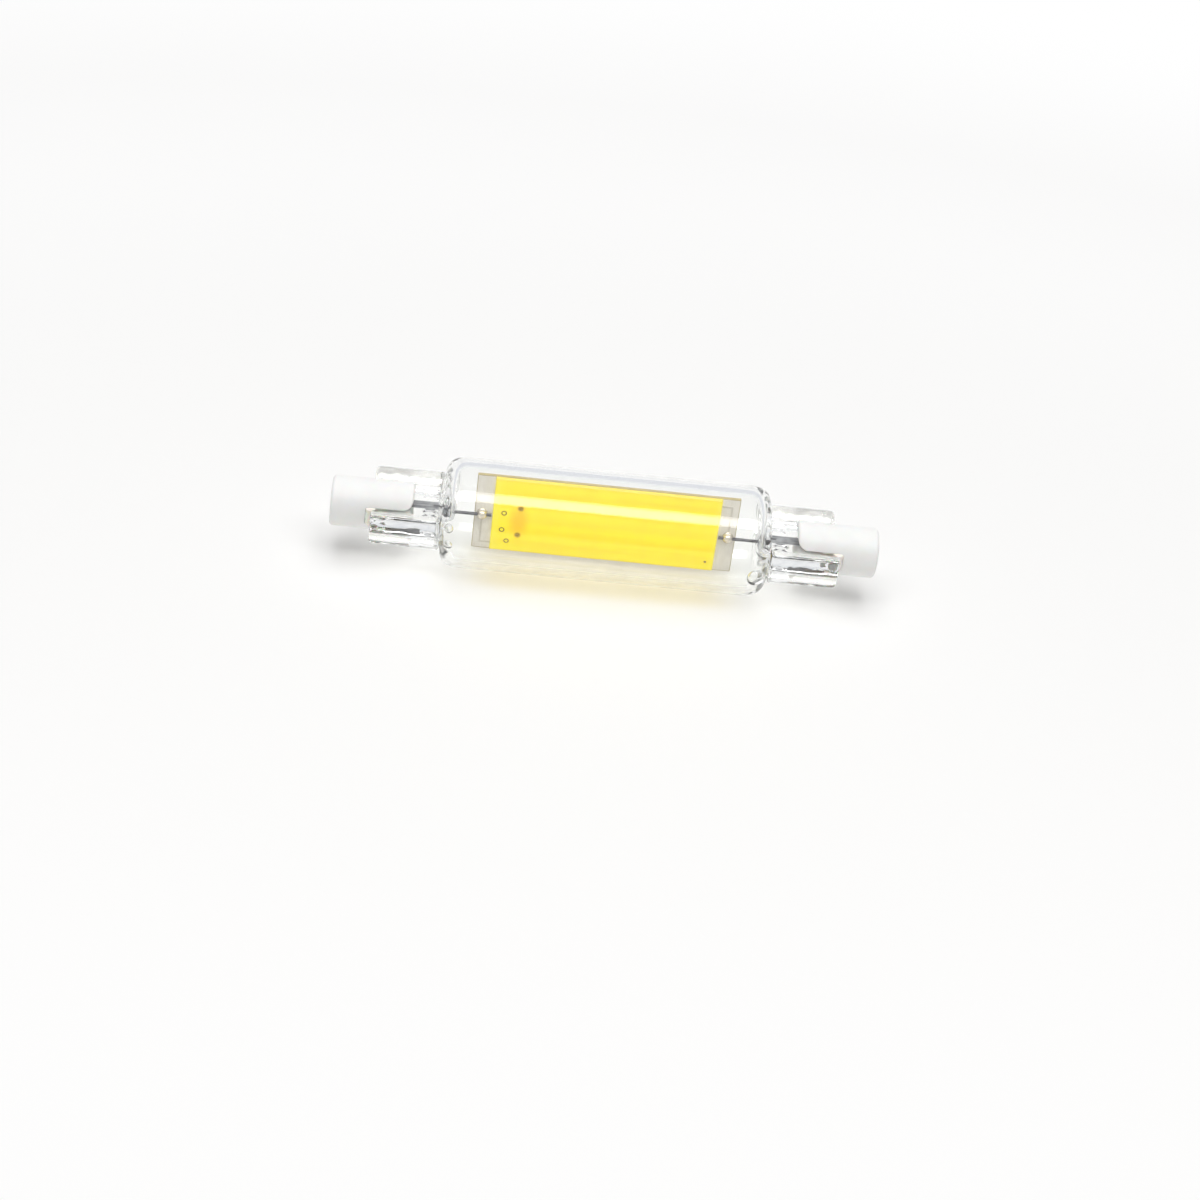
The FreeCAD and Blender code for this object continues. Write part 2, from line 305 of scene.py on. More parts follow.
def build_floor(finish):
    """White paper with a painted pool of warm light under the tube, for the light that comes through and
    off the yellow coat.
    """
    _, (x, y, _) = finish.place()
    # Painted light: the paper's colour is warmed under the tube, as light through and off the yellow coat
    # would warm it
    warm = x.abs().fade(*PAINTED_LIGHT_ALONG) * (y - PAINTED_LIGHT_MIDDLE).abs().fade(*PAINTED_LIGHT_ACROSS)
    return {"Base Color": finish.blend(warm * PAINTED_LIGHT_SHARE, FLOOR_WHITE, FLOOR_PAINTED_LIGHT)}


def floor_material():
    """Paper that turns to plain white away from the bulb."""
    material = new_material("white_floor", FLOOR_PLAIN, build_floor)
    finish = Finish(material.node_tree)
    _, (x, y, _) = finish.place()
    reach = (x * x * ALONG_WEIGHT + y * y) ** 0.5
    share = reach.fade(*GLOW_REACH).between(NEAR_GLOW, FAR_GLOW)
    share = share.max(reach.fade(*WHITE_REACH))
    glow = finish.add("ShaderNodeEmission", None, {"Color": WHITE, "Strength": 1.0})
    mix_in(material, seen_rays(finish) * share, glow)
    return material


bpy.ops.mesh.primitive_plane_add(size=FLOOR_SIDE, location=(0, 0, cad_low.z))
floor = bpy.context.object
floor.name = "floor"
dress(floor, floor_material())

# %% [markdown]
# ## The light
# One lamp could light all of this, but the bright line on the tube, the level of the paper and the
# softness of the shadows would then hang together. Three lamps keep them apart. A long strip, high on the
# camera's side, draws the line. A second strip behind it shows only in glass and metal, and makes the
# line brighter without adding to the paper. A square lamp, nearly overhead, makes the soft shadows and
# stays out of the glass.

# %% Light it
STRIP_ELEVATION = math.radians(68.8)
STRIP_DISTANCE = 0.6
STRIP_LENGTH = 0.8
STRIP_WIDTH = 0.21
STRIP_WATTS = 1.75
GLINT_DISTANCE = 0.62
GLINT_WATTS = 0.9
KEY_ELEVATION = math.radians(80)
KEY_DISTANCE = 0.7
KEY_SIDE = 0.5
KEY_WATTS = 2.4


def add_light(across, elevation, distance, length, width, watts):
    """Soft rectangular light that looks at the bulb. across is -1 on the camera's side and 1 behind."""
    where = Vector((0, across * math.cos(elevation), math.sin(elevation))) * distance
    bpy.ops.object.light_add(type="AREA", location=where)
    light = bpy.context.object
    light.rotation_mode = "QUATERNION"
    light.rotation_quaternion = (-where).to_track_quat("-Z", "Y")
    light.data.shape = "RECTANGLE"
    light.data.size = length
    light.data.size_y = width
    light.data.energy = watts
    return light


strip = add_light(-1, STRIP_ELEVATION, STRIP_DISTANCE, STRIP_LENGTH, STRIP_WIDTH, STRIP_WATTS)
glint = add_light(-1, STRIP_ELEVATION, GLINT_DISTANCE, STRIP_LENGTH, STRIP_WIDTH, GLINT_WATTS)
glint.visible_diffuse = False
key = add_light(1, KEY_ELEVATION, KEY_DISTANCE, KEY_SIDE, KEY_SIDE, KEY_WATTS)
key.visible_glossy = False
key.visible_transmission = False
print("lights at", [[round(c, 3) for c in light.location] for light in (strip, glint, key)])

# %% [markdown]
# Clear glass shows only what is round it, so the surroundings matter as much as the glass. A photograph
# of a studio would do, but two soft changes of colour are enough: white overhead, and grey low down,
# cooler behind, which gives the far edge of the tube its band. Light also has to pass many faces of glass
# before it is out again, so rays get more bounces than usual.

# %% Surroundings
SKY_LIGHT = 0.28
SKY_BACK = (0.72, 0.74, 0.79, 1)
SKY_FRONT = (0.65, 0.65, 0.66, 1)
SKY_DEPTH = (-0.6, 0.6)
SKY_HEIGHT = (0.05, 0.75)
GLASS_BOUNCES = 40


def add_sky():
    """White overhead and grey low down. Glass and metal see it at full strength, and the eye sees white."""
    world = bpy.data.worlds.new("surroundings")
    bpy.context.scene.world = world
    world.use_nodes = True
    finish = Finish(world.node_tree)
    ray = finish.add("ShaderNodeTexCoord", output="Generated")
    depth = finish.add("ShaderNodeSeparateXYZ", None, {0: ray}, "Y")
    height = finish.add("ShaderNodeSeparateXYZ", None, {0: ray}, "Z")
    low = finish.blend(depth.fade(*SKY_DEPTH), SKY_FRONT, SKY_BACK)
    colour = finish.blend(height.fade(*SKY_HEIGHT), low, WHITE)
    straight = finish.add("ShaderNodeLightPath", output="Is Camera Ray")
    colour = finish.blend(straight, colour, WHITE)
    strength = seen_rays(finish).between(SKY_LIGHT, 1)
    background = world.node_tree.nodes["Background"]
    world.node_tree.links.new(colour.output, background.inputs["Color"])
    world.node_tree.links.new(strength.output, background.inputs["Strength"])
    return world


sky = add_sky()
for kind in ("max_bounces", "transmission_bounces", "glossy_bounces"):
    setattr(bpy.context.scene.cycles, kind, GLASS_BOUNCES)
print(sky.name, "made of", len(sky.node_tree.nodes), "nodes, rays bounce", GLASS_BOUNCES, "times at most")

# %% [markdown]
# ## Tools for modelling in edit mode
# Each new piece starts as a primitive and is shaped by edit mode's own operators. They act on what is
# selected, so a few helpers select objects and points, push a ring of points along the bulb, and finish
# the piece.


# %% Edit helpers
def choose(*pieces):
    """Selects just these objects and makes the last one active."""
    bpy.ops.object.select_all(action="DESELECT")
    for piece in pieces:
        piece.select_set(True)
    bpy.context.view_layer.objects.active = pieces[-1]


def start_ring(name, points, radius):
    """Open ring round the bulb's axis at its middle, in edit mode with all of it selected."""
    bpy.ops.object.select_all(action="DESELECT")
    turn = (0, math.pi / 2, 0)
    bpy.ops.mesh.primitive_circle_add(vertices=points, radius=radius, fill_type="NOTHING", rotation=turn)
    piece = bpy.context.object
    piece.name = name
    bpy.ops.object.transform_apply(location=True, rotation=True, scale=True)
    bpy.ops.object.mode_set(mode="EDIT")
    bpy.ops.mesh.select_mode(type="VERT")
    bpy.ops.mesh.select_all(action="SELECT")
    return piece


def next_ring(distance, scale_y=1.0, scale_z=1.0):
    """Extrudes the selected ring along the bulb and scales the new one."""
    bpy.ops.mesh.extrude_region_move(TRANSFORM_OT_translate={"value": (distance, 0, 0)})
    bpy.ops.transform.resize(value=(1, scale_y, scale_z), center_override=(0, 0, 0))


def pick(piece, wanted):
    """Selects just these points."""
    bpy.ops.mesh.select_all(action="DESELECT")
    mesh = bmesh.from_edit_mesh(piece.data)
    mesh.verts.ensure_lookup_table()
    for index in wanted:
        mesh.verts[index].select = True
    mesh.select_flush(True)
    bmesh.update_edit_mesh(piece.data)


def apply_modifier(piece, kind, **settings):
    """Adds a modifier and applies it."""
    bpy.context.view_layer.objects.active = piece
    modifier = piece.modifiers.new(kind.lower(), kind)
    for name, value in settings.items():
        setattr(modifier, name, value)
    bpy.ops.object.modifier_apply(modifier=modifier.name)


def finish_piece(piece, node):
    """Smooth shading and a body to ride on; the node it stands for is hidden."""
    choose(piece)
    bpy.ops.object.shade_smooth()
    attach(piece, "root")
    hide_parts(node)
    print(piece.name, "of", len(piece.data.polygons), "faces stands for", node)


# %% [markdown]
# ## The glass
# On the real bulb a tube is heated and each end is pressed between jaws into a flat web with a rail along
# each side. Booleans would leave hard seams, so the form is drawn the way the glass moves: one ring is
# pushed along the bulb, the last circle is pressed into an I shape, and a subdivision surface makes the
# flow. Only half is modelled and mirrored.

# %% Stations of the glass
GLASS_POINTS = 32
TUBE_RADIUS = cad_high.z / MM
PINCH_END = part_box("glass_envelope")[1].x / MM
# A subdivision surface draws a ring in a little, and this gain makes up for it
circle_gain = 3 / (2 + math.cos(2 * math.pi / GLASS_POINTS))
# Each ring: its place along the bulb, then its half heights along Y and Z as shares of the tube's
SHOULDER_RINGS = [
    (9.0, 1.0, 1.0),
    (17.0, 1.0, 1.0),
    (19.6, 1.0, 1.0),
    (21.0, 1.0, 1.0),
    (22.2, 0.965, 0.955),
    (22.95, 0.905, 0.86),
    (23.25, 0.87, 0.7),
    (23.28, 0.86, 0.45),
]
# A quarter of the I section, from the side of the rail to the middle of the web
PRESS_QUARTER = [
    (6.88, 0.0),
    (6.88, 1.15),
    (6.88, 1.95),
    (6.68, 2.4),
    (6.0, 2.5),
    (4.85, 2.1),
    (4.4, 1.2),
    (2.4, 1.2),
    (0.0, 1.2),
]
PRESS_ROOT = 23.4
PRESS_GROWTH = 0.1
PRESS_RINGS = [23.75, 24.3, 25.0, 25.7, 26.5, 29.5, PINCH_END - 1.1, PINCH_END - 0.45]
END_EASE = [(PINCH_END - 0.12, 0.97, 0.93), (PINCH_END, 0.92, 0.8)]
print("tube of radius", round(TUBE_RADIUS, 2), "mm, pressed ends out to", round(PINCH_END, 2), "mm")


# %% Outside of the glass
OUTSIDE_LEVELS = 3


def draw_rings(rings, last):
    """Draws the selected ring out through (place, Y, Z) stations, starting from last."""
    for ring in rings:
        next_ring((ring[0] - last[0]) * MM, ring[1] / last[1], ring[2] / last[2])
        last = ring
    return last


def press_ring(piece, quarter):
    """Moves the selected ring into the outline whose first quarter is given in millimetres."""
    mesh = bmesh.from_edit_mesh(piece.data)
    mesh.verts.ensure_lookup_table()
    steps = (len(quarter) - 1) * 4
    order = sorted((v for v in mesh.verts if v.select), key=lambda v: math.atan2(v.co.z, v.co.y))
    first = min(range(steps), key=lambda i: abs(math.atan2(order[i].co.z, order[i].co.y)))
    spots = {}
    for place in range(steps):
        vertex = order[(first + place) % steps]
        fold = place % (steps // 2)
        spots.setdefault(min(fold, steps // 2 - fold), []).append((vertex.index, vertex.co.copy()))
    whole = [v.index for v in order]
    # The points that mirror each other in Y and Z move together
    for spot, members in spots.items():
        old = members[0][1]
        pairs = zip(quarter[spot], (old.y, old.z))
        scale = [new * MM / abs(was) if abs(was) > TINY else 1 for new, was in pairs]
        pick(piece, [index for index, _ in members])
        bpy.ops.transform.resize(value=(1, *scale), center_override=(0, 0, 0))
    pick(piece, whole)


def close_ring():
    """Folds the selected ring flat onto the bulb's XY plane and welds the two halves."""
    next_ring(0, 1, 0)
    bpy.ops.mesh.select_all(action="SELECT")
    bpy.ops.mesh.remove_doubles(threshold=TINY)


def outer_glass():
    """Tube, shoulders and pressed ends as one skin."""
    skin = start_ring("glass_skin", GLASS_POINTS, TUBE_RADIUS * circle_gain * MM)
    last = draw_rings(SHOULDER_RINGS, (0, 1, 1))
    next_ring((PRESS_ROOT - last[0]) * MM)
    press_ring(skin, [(y + PRESS_GROWTH, z + PRESS_GROWTH * (z > 0)) for y, z in PRESS_QUARTER])
    narrow = 1 - PRESS_GROWTH / PRESS_QUARTER[0][0]
    thin = 1 - PRESS_GROWTH / PRESS_QUARTER[-1][1]
    last = draw_rings([(place, narrow, thin) for place in PRESS_RINGS], (PRESS_ROOT, 1, 1))
    draw_rings([(place, narrow * y, thin * z) for place, y, z in END_EASE], last)
    close_ring()
    bpy.ops.mesh.normals_make_consistent(inside=False)
    bpy.ops.object.mode_set(mode="OBJECT")
    apply_modifier(skin, "MIRROR", use_axis=(True, False, False), merge_threshold=TINY)
    apply_modifier(skin, "SUBSURF", levels=OUTSIDE_LEVELS, render_levels=OUTSIDE_LEVELS)
    return skin


glass = outer_glass()
size = [round(c / MM, 2) for c in glass.dimensions]
print("outside of the glass:", len(glass.data.polygons), "faces,", size)

# %% [markdown]
# The press leaves its traces. Its jaws leave oval marks on the web, the hot glass sags a little where the
# tube closes, and the rails are slightly wavy, which breaks up what shows through them. A bump in the
# material would leave the mesh smooth, so a vertex group says where each trace is, and a Displace
# modifier moves the points there along their normals.

# %% Where the press leaves traces
MARK_X = 25.0
MARK_Y = 2.6
MARK_HALF = (1.05, 0.6)
MARK_RIM = 1.15
MARK_SOFTNESS = 0.45
WEB_REACH = 1.5
FLOW_FROM = 21.0
FLOW_TO = 24.6
RAIL_FROM = 24.0
RAIL_INSIDE = 5.0


def ease(value):
    """Smooth step from 0 to 1."""
    value = min(max(value, 0), 1)
    return value * value * (3 - 2 * value)


def mark_weight(x, y, z):
    """Ovals on both faces of each web."""
    reach = math.hypot((abs(x) - MARK_X) / MARK_HALF[0], (abs(y) - MARK_Y) / MARK_HALF[1])
    return ease((MARK_RIM - reach) / MARK_SOFTNESS) if abs(z) < WEB_REACH else 0


def flow_weight(x, *_):
    """The shoulders and the roots of the rails."""
    middle = (FLOW_FROM + FLOW_TO) / 2
    return ease(1 - abs(abs(x) - middle) / (FLOW_TO - middle))


def rail_weight(x, y, _):
    """The outer sides of the rails."""
    return ease(abs(x) - RAIL_FROM) * ease(abs(y) - RAIL_INSIDE)


def weigh(piece, name, weight):
    """Vertex group whose weights come from a function of the place in millimetres."""
    group = piece.vertex_groups.new(name=name)
    count = 0
    for vertex in piece.data.vertices:
        share = weight(*(c / MM for c in vertex.co))
        if share > 0:
            group.add([vertex.index], share, "REPLACE")
            count += 1
    print(piece.name, "has", count, "points for its", name)


weigh(glass, "marks", mark_weight)
weigh(glass, "flow", flow_weight)
weigh(glass, "rails", rail_weight)

# %% Press the traces in
MARK_DEPTH = 0.2
FLOW_DEPTH = 0.12
FLOW_SIZE = 2.4
WAVE_DEPTH = 0.12
WAVE_SIZE = 1.7


def cloud_texture(name, size):
    """Soft clouds of a size in millimetres, for Displace."""
    texture = bpy.data.textures.new(name, "CLOUDS")
    texture.noise_scale = size * MM
    return texture


def swell(piece, texture, depth, group=""):
    """Moves the surface in and out by a texture, as far as a vertex group lets it."""
    settings = {"texture": texture, "texture_coords": "LOCAL", "mid_level": 0.5, "vertex_group": group}
    apply_modifier(piece, "DISPLACE", strength=depth * MM, **settings)


flow = cloud_texture("glass_flow", FLOW_SIZE)
waves = cloud_texture("rail_waves", WAVE_SIZE)
apply_modifier(glass, "DISPLACE", strength=-MARK_DEPTH * MM, mid_level=0, vertex_group="marks")
swell(glass, flow, FLOW_DEPTH, "flow")
swell(glass, waves, WAVE_DEPTH, "rails")
print("pressed glass:", [round(c / MM, 2) for c in glass.dimensions])

# %% [markdown]
# The hollow is a second ring, drawn out the same way and closed by a dome. Its faces look into the
# hollow, so that the glass lies between the two skins and light bends at both. The jaws shut the middle
# of the tube first, so the hollow reaches a little further behind each rail: there, faces of its end are
# extruded into a pocket.

# %% Pockets behind the rails
TUBE_WALL = 1.2
BORE_RADIUS = TUBE_RADIUS - TUBE_WALL
# As for the outside: place along the bulb, then half heights as shares of the bore's
HOLLOW_RINGS = [
    (10.0, 1.0, 1.0),
    (17.0, 1.0, 1.0),
    (19.6, 1.0, 1.0),
    (20.8, 0.995, 0.995),
    (21.6, 0.955, 0.945),
    (22.05, 0.87, 0.83),
    (22.1, 0.6, 0.5),
    (22.05, 0.25, 0.2),
]
POCKET_DEPTH = 1.1
POCKET_SCALE = 0.8
POCKET_TURN = math.radians(18)
print("hollow of radius", round(BORE_RADIUS, 2), "mm, closed at", HOLLOW_RINGS[-1][0], "mm")


def sink_pockets(skin):
    """Draws the end of the hollow out behind the root of each rail."""
    end_from = HOLLOW_RINGS[-4][0]
    rail_from = HOLLOW_RINGS[-2][1] * BORE_RADIUS
    bpy.ops.mesh.select_mode(type="FACE")
    for side in (-1, 1):
        bpy.ops.mesh.select_all(action="DESELECT")
        mesh = bmesh.from_edit_mesh(skin.data)
        chosen = []
        for face in mesh.faces:
            x, y, z = face.calc_center_median() / MM
            behind = abs(math.atan2(z, y * side)) < POCKET_TURN
            if behind and x > end_from and abs(y) > rail_from:
                face.select = True
                chosen.append(face.calc_center_median())
        bmesh.update_edit_mesh(skin.data)
        middle = sum(chosen, Vector()) / len(chosen)
        bpy.ops.mesh.extrude_region_move(TRANSFORM_OT_translate={"value": (POCKET_DEPTH * MM, 0, 0)})
        bpy.ops.transform.resize(value=(1, POCKET_SCALE, POCKET_SCALE), center_override=tuple(middle))
        print("pocket of", len(chosen), "faces at", [round(c / MM, 2) for c in middle])
    bpy.ops.mesh.select_mode(type="VERT")


# %% Hollow of the tube
HOLLOW_LEVELS = 2


def inner_glass():
    """Inside of the tube, with its faces turned inwards."""
    skin = start_ring("hollow_skin", GLASS_POINTS, BORE_RADIUS * circle_gain * MM)
    draw_rings(HOLLOW_RINGS, (0, 1, 1))
    next_ring(0, 0, 0)
    bpy.ops.mesh.select_all(action="SELECT")
    bpy.ops.mesh.remove_doubles(threshold=TINY)
    sink_pockets(skin)
    bpy.ops.mesh.select_all(action="SELECT")
    bpy.ops.mesh.normals_make_consistent(inside=True)
    bpy.ops.object.mode_set(mode="OBJECT")
    apply_modifier(skin, "MIRROR", use_axis=(True, False, False), merge_threshold=TINY)
    apply_modifier(skin, "SUBSURF", levels=HOLLOW_LEVELS, render_levels=HOLLOW_LEVELS)
    weigh(skin, "flow", flow_weight)
    swell(skin, flow, FLOW_DEPTH, "flow")
    return skin


hollow = inner_glass()
print("hollow:", len(hollow.data.polygons), "faces,", [round(c / MM, 2) for c in hollow.dimensions])

# %% [markdown]
# A little air is caught in the thick glass of the shoulders. Each bubble was flattened with the wall, so
# it is a squeezed sphere that leans with it, and its faces look inwards like those of the hollow. The
# bubbles and both skins are then joined into one piece of glass.

# %% Bubbles
# Place, radius along the wall, and how many degrees it leans up and towards the right end
BUBBLES = [
    ((-22.0, -6.55, 1.5), 0.65, 13, -18),
    ((-21.9, -6.6, -1.0), 0.6, 0, -18),
    ((21.6, -7.0, -1.35), 1.3, 6, 6),
]
BUBBLE_THICKNESS = 0.35
BUBBLE_SEGMENTS = 32
BUBBLE_BANDS = 20


def bubble(place, radius, up, right):
    """Air caught in the thick glass of a shoulder."""
    bpy.ops.object.select_all(action="DESELECT")
    middle = tuple(c * MM for c in place)
    bpy.ops.mesh.primitive_uv_sphere_add(
        segments=BUBBLE_SEGMENTS, ring_count=BUBBLE_BANDS, radius=radius * MM, location=middle)
    air = bpy.context.object
    air.rotation_euler = (math.radians(90 - up), 0, math.radians(right))
    air.scale = (1, 1, BUBBLE_THICKNESS)
    bpy.ops.object.transform_apply(location=True, rotation=True, scale=True)
    bpy.ops.object.mode_set(mode="EDIT")
    bpy.ops.mesh.select_all(action="SELECT")
    bpy.ops.mesh.normals_make_consistent(inside=True)
    bpy.ops.object.mode_set(mode="OBJECT")
    return air


bubbles = [bubble(*values) for values in BUBBLES]
choose(hollow, *bubbles, glass)
bpy.ops.object.join()
glass.name = "glass_bulb"
finish_piece(glass, "glass_envelope")

# %% [markdown]
# The glass is clear, with a faint ripple drawn out along the tube and a trace of green where it is thick.
# The tint comes from absorption inside the glass, so thin walls stay colourless. Light that glass bends
# into bright patches is slow to render, so rays on their way to a lamp pass straight through, only a
# little shaded.

# %% Glass finish
GLASS_TINT = (0.98, 0.985, 0.978, 1)
GLASS_SHADE = (0.89, 0.89, 0.88, 1)
GLASS_MURK = (0.22, 0.27, 0.2, 1)
GLASS_DENSITY = 4
GLASS_PLAIN = {"Base Color": GLASS_TINT, "Roughness": 0.0, "IOR": 1.5, "Transmission Weight": 1.0}
RIPPLE_STRETCH = (0.35, 1, 1)
RIPPLE_SCALE = 0.55
RIPPLE_DEPTH = 0.01


def let_light_through(material, colour, share):
    """Rays on their way to a lamp pass straight through, tinted, in this share."""
    finish = Finish(material.node_tree)
    shadow = finish.add("ShaderNodeLightPath", output="Is Shadow Ray")
    clear = finish.add("ShaderNodeBsdfTransparent", None, {"Color": colour})
    mix_in(material, shadow * share, clear)


def build_glass(finish):
    """Faint ripple in the skin of the glass."""
    vector, _ = finish.place()
    ripple = finish.noise(finish.stretch(vector, RIPPLE_STRETCH), RIPPLE_SCALE)
    return {"Normal": finish.relief(ripple, RIPPLE_DEPTH)}


def glass_material():
    """Clear glass that is a little murky inside."""
    material = new_material("clear_glass", GLASS_PLAIN, build_glass)
    let_light_through(material, GLASS_SHADE, 1.0)
    finish = Finish(material.node_tree)
    murk = finish.add("ShaderNodeVolumeAbsorption", None, {"Color": GLASS_MURK, "Density": GLASS_DENSITY})
    material.node_tree.links.new(murk.output, material.node_tree.nodes["Material Output"].inputs["Volume"])
    return material


dress(glass, glass_material())

# %% [markdown]
# ## The ceramic caps
# The caps are pressed and fired, so no edge on them is sharp. The solid model already has their form. A
# bevel would need every edge picked, so a copy is rebuilt in small even faces and smoothed, which rounds
# every edge by about the same amount, as firing does.

# %% Soften the caps
CAP_VOXEL = 0.1
CAP_SMOOTHING = 5
SMOOTH_FACTOR = 0.5


def soft_copy(node, name, voxel, smoothing):
    """Copy of a node with its corners welded, rebuilt in even faces and smoothed."""
    piece = bpy.data.objects.new(name, nodes[node].data.copy())
    bpy.context.scene.collection.objects.link(piece)
    choose(piece)
    bpy.ops.object.mode_set(mode="EDIT")
    bpy.ops.mesh.select_all(action="SELECT")
    bpy.ops.mesh.remove_doubles(threshold=TINY)
    bpy.ops.object.mode_set(mode="OBJECT")
    apply_modifier(piece, "REMESH", mode="VOXEL", voxel_size=voxel * MM)
    apply_modifier(piece, "SMOOTH", factor=SMOOTH_FACTOR, iterations=smoothing)
    return piece


caps = []
for side in SIDES:
    cap = soft_copy(f"{side}_cap", f"{side}_ceramic", CAP_VOXEL, CAP_SMOOTHING)
    finish_piece(cap, f"{side}_cap")
    caps.append(cap)

# %% [markdown]
# Unglazed white ceramic is never one flat white. It has a fine grain, faint clouds from firing and a few
# darker specks, and a little light goes into it and comes out again. A scan of real ceramic could be laid
# on, but noise on the place of each point needs no seams and looks the same from every side.

# %% Ceramic finish
CERAMIC_LIGHT = (0.93, 0.93, 0.915, 1)
CERAMIC_DARK = (0.87, 0.868, 0.845, 1)
CERAMIC_PLAIN = {"Specular IOR Level": 0.45, "Subsurface Weight": 0.12, "Subsurface Scale": 0.4 * MM}
CERAMIC_GRAIN = 7.0
CERAMIC_LUMPS = 1.2
CERAMIC_CLOUDS = 0.35
CERAMIC_SPECKS = 2.6
CLOUD_FADE = (0.35, 0.75)
CLOUD_SHARE = 0.45
SPECK_FADE = (0.74, 0.8)
SPECK_SHARE = 0.4
LUMP_SHARE = 1.5
CERAMIC_ROUGHNESS = (0.42, 0.58)
CERAMIC_RELIEF = 0.012


def build_ceramic(finish):
    """Fired white ceramic: a fine grain, faint clouds and a few darker specks."""
    vector, _ = finish.place()
    grain = finish.noise(vector, CERAMIC_GRAIN, FINE)
    clouds = finish.noise(vector, CERAMIC_CLOUDS, FINE).fade(*CLOUD_FADE)
    specks = finish.noise(vector, CERAMIC_SPECKS, SMOOTH).fade(*SPECK_FADE)
    shade = clouds * CLOUD_SHARE + specks * SPECK_SHARE
    height = grain + finish.noise(vector, CERAMIC_LUMPS) * LUMP_SHARE
    return {
        "Base Color": finish.blend(shade, CERAMIC_LIGHT, CERAMIC_DARK),
        "Roughness": grain.between(*CERAMIC_ROUGHNESS),
        "Normal": finish.relief(height, CERAMIC_RELIEF),
    }


ceramic = new_material("fired_ceramic", CERAMIC_PLAIN, build_ceramic)
for cap in caps:
    dress(cap, ceramic)

# %% [markdown]
# ## Cement
# The caps are stuck on with a cream cement that was squeezed out in a lump where the glass ends.
# Sculpting each lump by hand would look best and take longest. Here a soft copy is swollen unevenly by a
# cloud texture, so that the lump is no longer a neat shape, and smoothed once more.

# %% Cement finish
CEMENT_LIGHT = (0.95, 0.93, 0.88, 1)
CEMENT_DARK = (0.88, 0.82, 0.72, 1)
CEMENT_PLAIN = {"Subsurface Weight": 0.35, "Subsurface Scale": 0.6 * MM, "Coat Weight": 0.3}
CEMENT_PATCHES = 1.1
PATCH_FADE = (0.4, 0.7)
CEMENT_GRAIN = 5.0
CEMENT_ROUGHNESS = (0.12, 0.42)
CEMENT_RELIEF = 0.02


def build_cement(finish):
    """Hardened cement: cream with browner, duller patches."""
    vector, _ = finish.place()
    patches = finish.noise(vector, CEMENT_PATCHES, FINE)
    return {
        "Base Color": finish.blend(patches.fade(*PATCH_FADE), CEMENT_LIGHT, CEMENT_DARK),
        "Roughness": patches.between(*CEMENT_ROUGHNESS),
        "Normal": finish.relief(finish.noise(vector, CEMENT_GRAIN), CEMENT_RELIEF),
    }


cement_finish = new_material("cream_cement", CEMENT_PLAIN, build_cement)
print(cement_finish.name, "is made of", len(cement_finish.node_tree.nodes), "nodes")

# %% Lumpy cement
CEMENT_VOXEL = 0.08
CEMENT_SMOOTHING = 18
LUMP_SIZE = 0.9
LUMP_HEIGHT = 0.22
LUMP_SMOOTHING = 3
lumps = cloud_texture("cement_lumps", LUMP_SIZE)
for side in SIDES:
    cement = soft_copy(f"{side}_cement", f"{side}_cement_lump", CEMENT_VOXEL, CEMENT_SMOOTHING)
    swell(cement, lumps, LUMP_HEIGHT)
    apply_modifier(cement, "SMOOTH", factor=SMOOTH_FACTOR, iterations=LUMP_SMOOTHING)
    finish_piece(cement, f"{side}_cement")
    dress(cement, cement_finish)

# %% [markdown]
# ## Solder joints
# Molten solder pulls itself into a dome that clings to the pad and climbs the wire. It could be spun from
# a profile, but a sphere that is cut off at the pad and stretched into an oval has the same bulge, and a
# subdivision surface rounds its foot.

# %% Solder domes
DOME_SEGMENTS = 24
DOME_BANDS = 14
DOME_CENTRE = 0.25
DOME_LEVELS = 2
SOLDER_SPREAD = (1.15, 1.3, 1.75)


def solder_dome(side):
    """Dome over the end of an inner lead, cut off flat at its pad."""
    low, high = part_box(f"{side}_solder")
    middle = (low + high) / 2
    radius = (high.x - low.x) / 2
    centre = (middle.x, high.y - DOME_CENTRE * radius, middle.z)
    turn = (math.pi / 2, 0, 0)
    bpy.ops.object.select_all(action="DESELECT")
    bpy.ops.mesh.primitive_uv_sphere_add(
        segments=DOME_SEGMENTS, ring_count=DOME_BANDS, radius=radius, location=centre, rotation=turn)
    dome = bpy.context.object
    dome.name = f"{side}_solder_dome"
    bpy.ops.object.transform_apply(location=True, rotation=True, scale=True)
    bpy.ops.object.mode_set(mode="EDIT")
    bpy.ops.mesh.select_all(action="SELECT")
    bpy.ops.mesh.bisect(plane_co=(0, high.y, 0), plane_no=(0, 1, 0), use_fill=True, clear_outer=True)
    bpy.ops.transform.resize(value=SOLDER_SPREAD, center_override=(middle.x, high.y, middle.z))
    bpy.ops.object.mode_set(mode="OBJECT")
    apply_modifier(dome, "SUBSURF", levels=DOME_LEVELS, render_levels=DOME_LEVELS)
    finish_piece(dome, f"{side}_solder")
    return dome


domes = [solder_dome(side) for side in SIDES]

# %% Solder finish
SOLDER_BRIGHT = (0.86, 0.83, 0.78, 1)
SOLDER_WARM = (0.7, 0.6, 0.45, 1)
SOLDER_CLOUDS = 3.0
SOLDER_ROUGHNESS = (0.1, 0.35)
SOLDER_RELIEF = 0.02


def build_solder(finish):
    """Bright solder, a little dull in clouds and warm from its flux."""
    vector, _ = finish.place()
    dull = finish.noise(vector, SOLDER_CLOUDS, FINE)
    return {
        "Base Color": finish.blend(dull, SOLDER_BRIGHT, SOLDER_WARM),
        "Roughness": dull.between(*SOLDER_ROUGHNESS),
        "Normal": finish.relief(dull, SOLDER_RELIEF),
    }


solder = new_material("bright_solder", {"Metallic": 1.0}, build_solder)
for dome in domes:
    dress(dome, solder)

